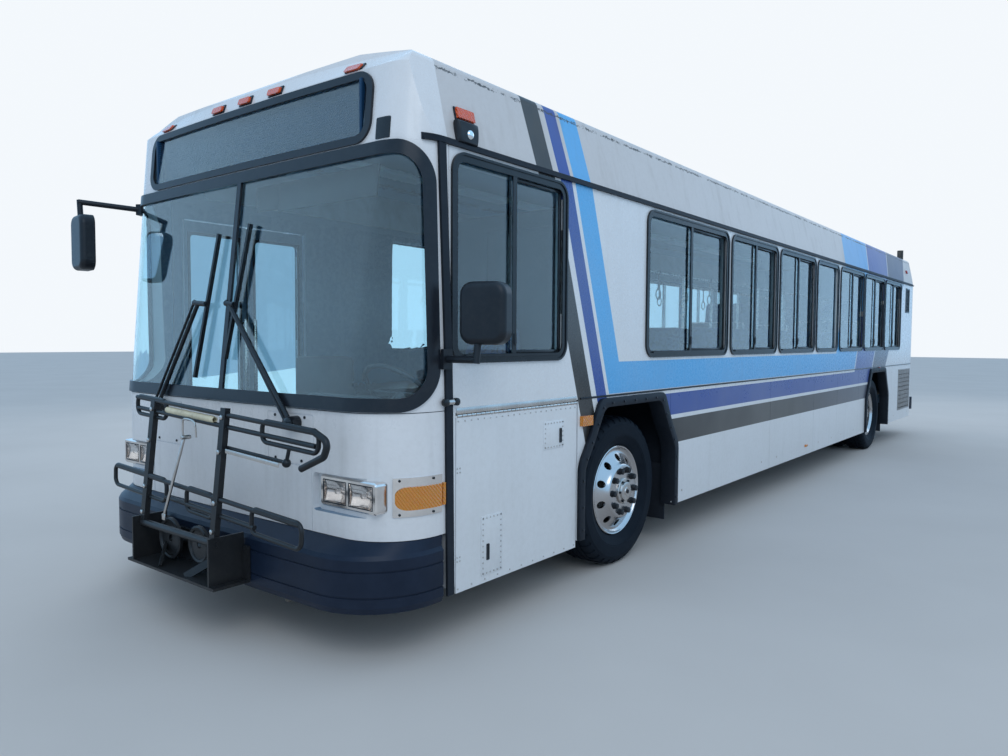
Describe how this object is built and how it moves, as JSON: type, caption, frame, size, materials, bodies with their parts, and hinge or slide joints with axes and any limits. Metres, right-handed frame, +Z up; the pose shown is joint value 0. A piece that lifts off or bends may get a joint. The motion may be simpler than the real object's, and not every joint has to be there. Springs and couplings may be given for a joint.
{
  "type": "city bus",
  "caption": "Low-floor city bus with a raked front, striped sides, double doors on the right, a folded bike rack and twin rear wheels",
  "frame": {"origin": "on the ground under the middle of the overall length and width", "axes": "+X driver side (left), +Y rearwards, +Z up"},
  "size_m": [3.1573, 12.306, 3.0199],
  "materials": {
    "body_paint": "satin",
    "floor": "matte",
    "chassis": "matte",
    "engine": "matte",
    "rubber": "matte",
    "frame_black": "satin",
    "bumper": "satin",
    "black_plastic": "matte",
    "chrome": "polished",
    "lamp_glass": "clear",
    "clear_glass": "clear",
    "tinted_glass": "tinted",
    "amber": "gloss",
    "red": "gloss",
    "steel": "brushed",
    "alloy": "polished",
    "tyre": "matte",
    "seat": "woven",
    "interior": "matte"
  },
  "bodies": {
    "body": {"floor_deck": "floor", "wheelhouses": "floor", "driver_platform": "floor", "battery_box": "chassis", "batteries": "black_plastic", "underframe": "chassis", "rear_frame": "chassis", "powertrain": "engine", "side_wall_left": "body_paint", "side_wall_right": "body_paint", "skirt_left": "body_paint", "skirt_right": "body_paint", "roof": "body_paint", "drip_rails": "rubber", "front_mask": "body_paint", "front_posts": "body_paint", "front_header": "body_paint", "rear_cap": "body_paint", "windshield": "clear_glass", "front_gaskets": "rubber", "window_frames": "frame_black", "window_glass": "tinted_glass", "fenders": "rubber", "bumper_front": "bumper", "bumper_rear": "bumper", "headlamps": "chrome", "headlamp_lenses": "lamp_glass", "amber_lamps": "amber", "red_lamps": "red", "mirrors": "black_plastic", "wipers": "frame_black", "vent_grilles": "frame_black", "exhaust_stack": "steel", "front_axle": "chassis", "rear_axle": "chassis", "passenger_seats": "seat", "grab_rails": "steel", "driver_station": "interior", "driver_seat": "seat", "rack_bracket": "frame_black"},
    "steering_left": {"knuckle_left": "chassis"},
    "wheel_front_left": {"tyre_front_left": "tyre", "rim_front_left": "alloy"},
    "wheel_rear_left": {"tyre_rear_left": "tyre", "rim_rear_left": "alloy"},
    "steering_right": {"knuckle_right": "chassis"},
    "wheel_front_right": {"tyre_front_right": "tyre", "rim_front_right": "alloy"},
    "wheel_rear_right": {"tyre_rear_right": "tyre", "rim_rear_right": "alloy"},
    "front_door_leaf_fore": {"front_door_fore": "body_paint"},
    "front_door_leaf_aft": {"front_door_aft": "body_paint"},
    "rear_door_leaf_fore": {"rear_door_fore": "body_paint"},
    "rear_door_leaf_aft": {"rear_door_aft": "body_paint"},
    "battery_lid": {"battery_door": "body_paint"},
    "engine_lid": {"engine_door": "body_paint"},
    "hatch_front": {"roof_hatch_front": "body_paint"},
    "hatch_rear": {"roof_hatch_rear": "body_paint"},
    "rack": {"bike_rack": "frame_black"}
  },
  "joints": [
    {"name": "steer_left", "type": "hinge", "parent": "body", "child": "steering_left", "pos_m": [0.93, -3.635, 0.5], "axis": [0, 0, 1], "range_deg": [-45, 45]},
    {"name": "spin_front_left", "type": "hinge", "parent": "steering_left", "child": "wheel_front_left", "pos_m": [1.09, -3.635, 0.5], "axis": [1, 0, 0], "continuous": true},
    {"name": "spin_rear_left", "type": "hinge", "parent": "body", "child": "wheel_rear_left", "pos_m": [1.09, 3.472, 0.5], "axis": [1, 0, 0], "continuous": true},
    {"name": "steer_right", "type": "hinge", "parent": "body", "child": "steering_right", "pos_m": [-0.93, -3.635, 0.5], "axis": [0, 0, 1], "range_deg": [-45, 45]},
    {"name": "spin_front_right", "type": "hinge", "parent": "steering_right", "child": "wheel_front_right", "pos_m": [-1.09, -3.635, 0.5], "axis": [1, 0, 0], "continuous": true},
    {"name": "spin_rear_right", "type": "hinge", "parent": "body", "child": "wheel_rear_right", "pos_m": [-1.09, 3.472, 0.5], "axis": [1, 0, 0], "continuous": true},
    {"name": "front_door_fore_swing", "type": "hinge", "parent": "body", "child": "front_door_leaf_fore", "pos_m": [-1.27, -5.334, 1.33], "axis": [0, 0, 1], "range_deg": [0, 90]},
    {"name": "front_door_aft_swing", "type": "hinge", "parent": "body", "child": "front_door_leaf_aft", "pos_m": [-1.27, -4.361, 1.33], "axis": [0, 0, -1], "range_deg": [0, 90]},
    {"name": "rear_door_fore_swing", "type": "hinge", "parent": "body", "child": "rear_door_leaf_fore", "pos_m": [-1.27, 0.546, 1.33], "axis": [0, 0, 1], "range_deg": [0, 90]},
    {"name": "rear_door_aft_swing", "type": "hinge", "parent": "body", "child": "rear_door_leaf_aft", "pos_m": [-1.27, 1.419, 1.33], "axis": [0, 0, -1], "range_deg": [0, 90]},
    {"name": "battery_lid_lift", "type": "hinge", "parent": "body", "child": "battery_lid", "pos_m": [1.287, -4.832, 1.134], "axis": [0, -1, 0], "range_deg": [0, 85]},
    {"name": "engine_lid_lift", "type": "hinge", "parent": "body", "child": "engine_lid", "pos_m": [0, 6.005, 1.49], "axis": [1, 0, 0], "range_deg": [0, 80]},
    {"name": "hatch_front_lift", "type": "hinge", "parent": "body", "child": "hatch_front", "pos_m": [0, -1.79, 2.9803], "axis": [-1, 0, 0], "range_deg": [0, 60]},
    {"name": "hatch_rear_lift", "type": "hinge", "parent": "body", "child": "hatch_rear", "pos_m": [0, 3.61, 2.9803], "axis": [-1, 0, 0], "range_deg": [0, 60]},
    {"name": "rack_fold", "type": "hinge", "parent": "body", "child": "rack", "pos_m": [0, -6.097, 0.5], "axis": [1, 0, 0], "range_deg": [0, 90]}
  ],
  "couplings": [
    {"joint": "steer_right", "follows": "steer_left", "ratio": 1},
    {"joint": "front_door_aft_swing", "follows": "front_door_fore_swing", "ratio": 1},
    {"joint": "rear_door_aft_swing", "follows": "rear_door_fore_swing", "ratio": 1}
  ]
}
